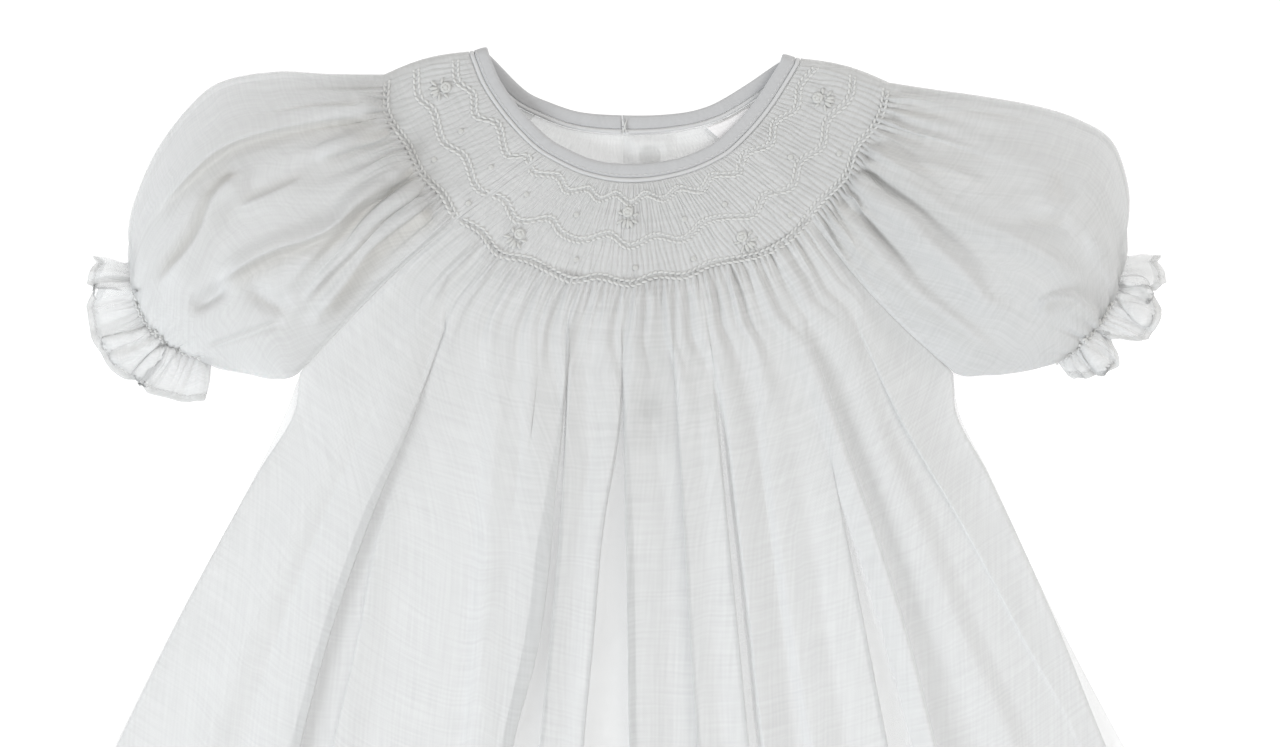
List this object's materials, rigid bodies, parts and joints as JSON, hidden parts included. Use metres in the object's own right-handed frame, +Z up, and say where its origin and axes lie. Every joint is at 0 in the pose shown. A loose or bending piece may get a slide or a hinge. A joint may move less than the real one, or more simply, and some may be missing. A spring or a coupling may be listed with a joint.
{
  "type": "smocked baby dress",
  "caption": "White cotton bishop-style baby dress laid flat, front up: smocked round yoke, bound neck, puffed short sleeves with gathered ruffled cuffs, full flared skirt and buttoned back opening",
  "frame": {"origin": "under the middle of the dress's box, on the surface that it lies on", "axes": "+X to the right as the front is looked at, +Y from the hem to the neck, +Z up, out of the dress's front"},
  "size_m": [0.509, 0.4234, 0.0284],
  "materials": {
    "white_batiste": "sheer plain-weave cotton, soft and matt",
    "white_binding": "two layers of plain-weave cotton cut on the bias, matt",
    "white_thread": "white cotton cord and embroidery thread with a faint sheen",
    "label_cloth": "woven satin ribbon, plain",
    "white_button": "pearly white shirt button"
  },
  "bodies": {
    "root": {"front": "white_batiste", "back": "white_batiste", "sleeve_left": "white_batiste", "sleeve_right": "white_batiste", "back_lap": "white_batiste", "neck_binding": "white_binding", "neck_piping": "white_thread", "label": "label_cloth", "button_1": "white_button", "button_2": "white_button", "button_3": "white_button"}
  },
  "joints": []
}
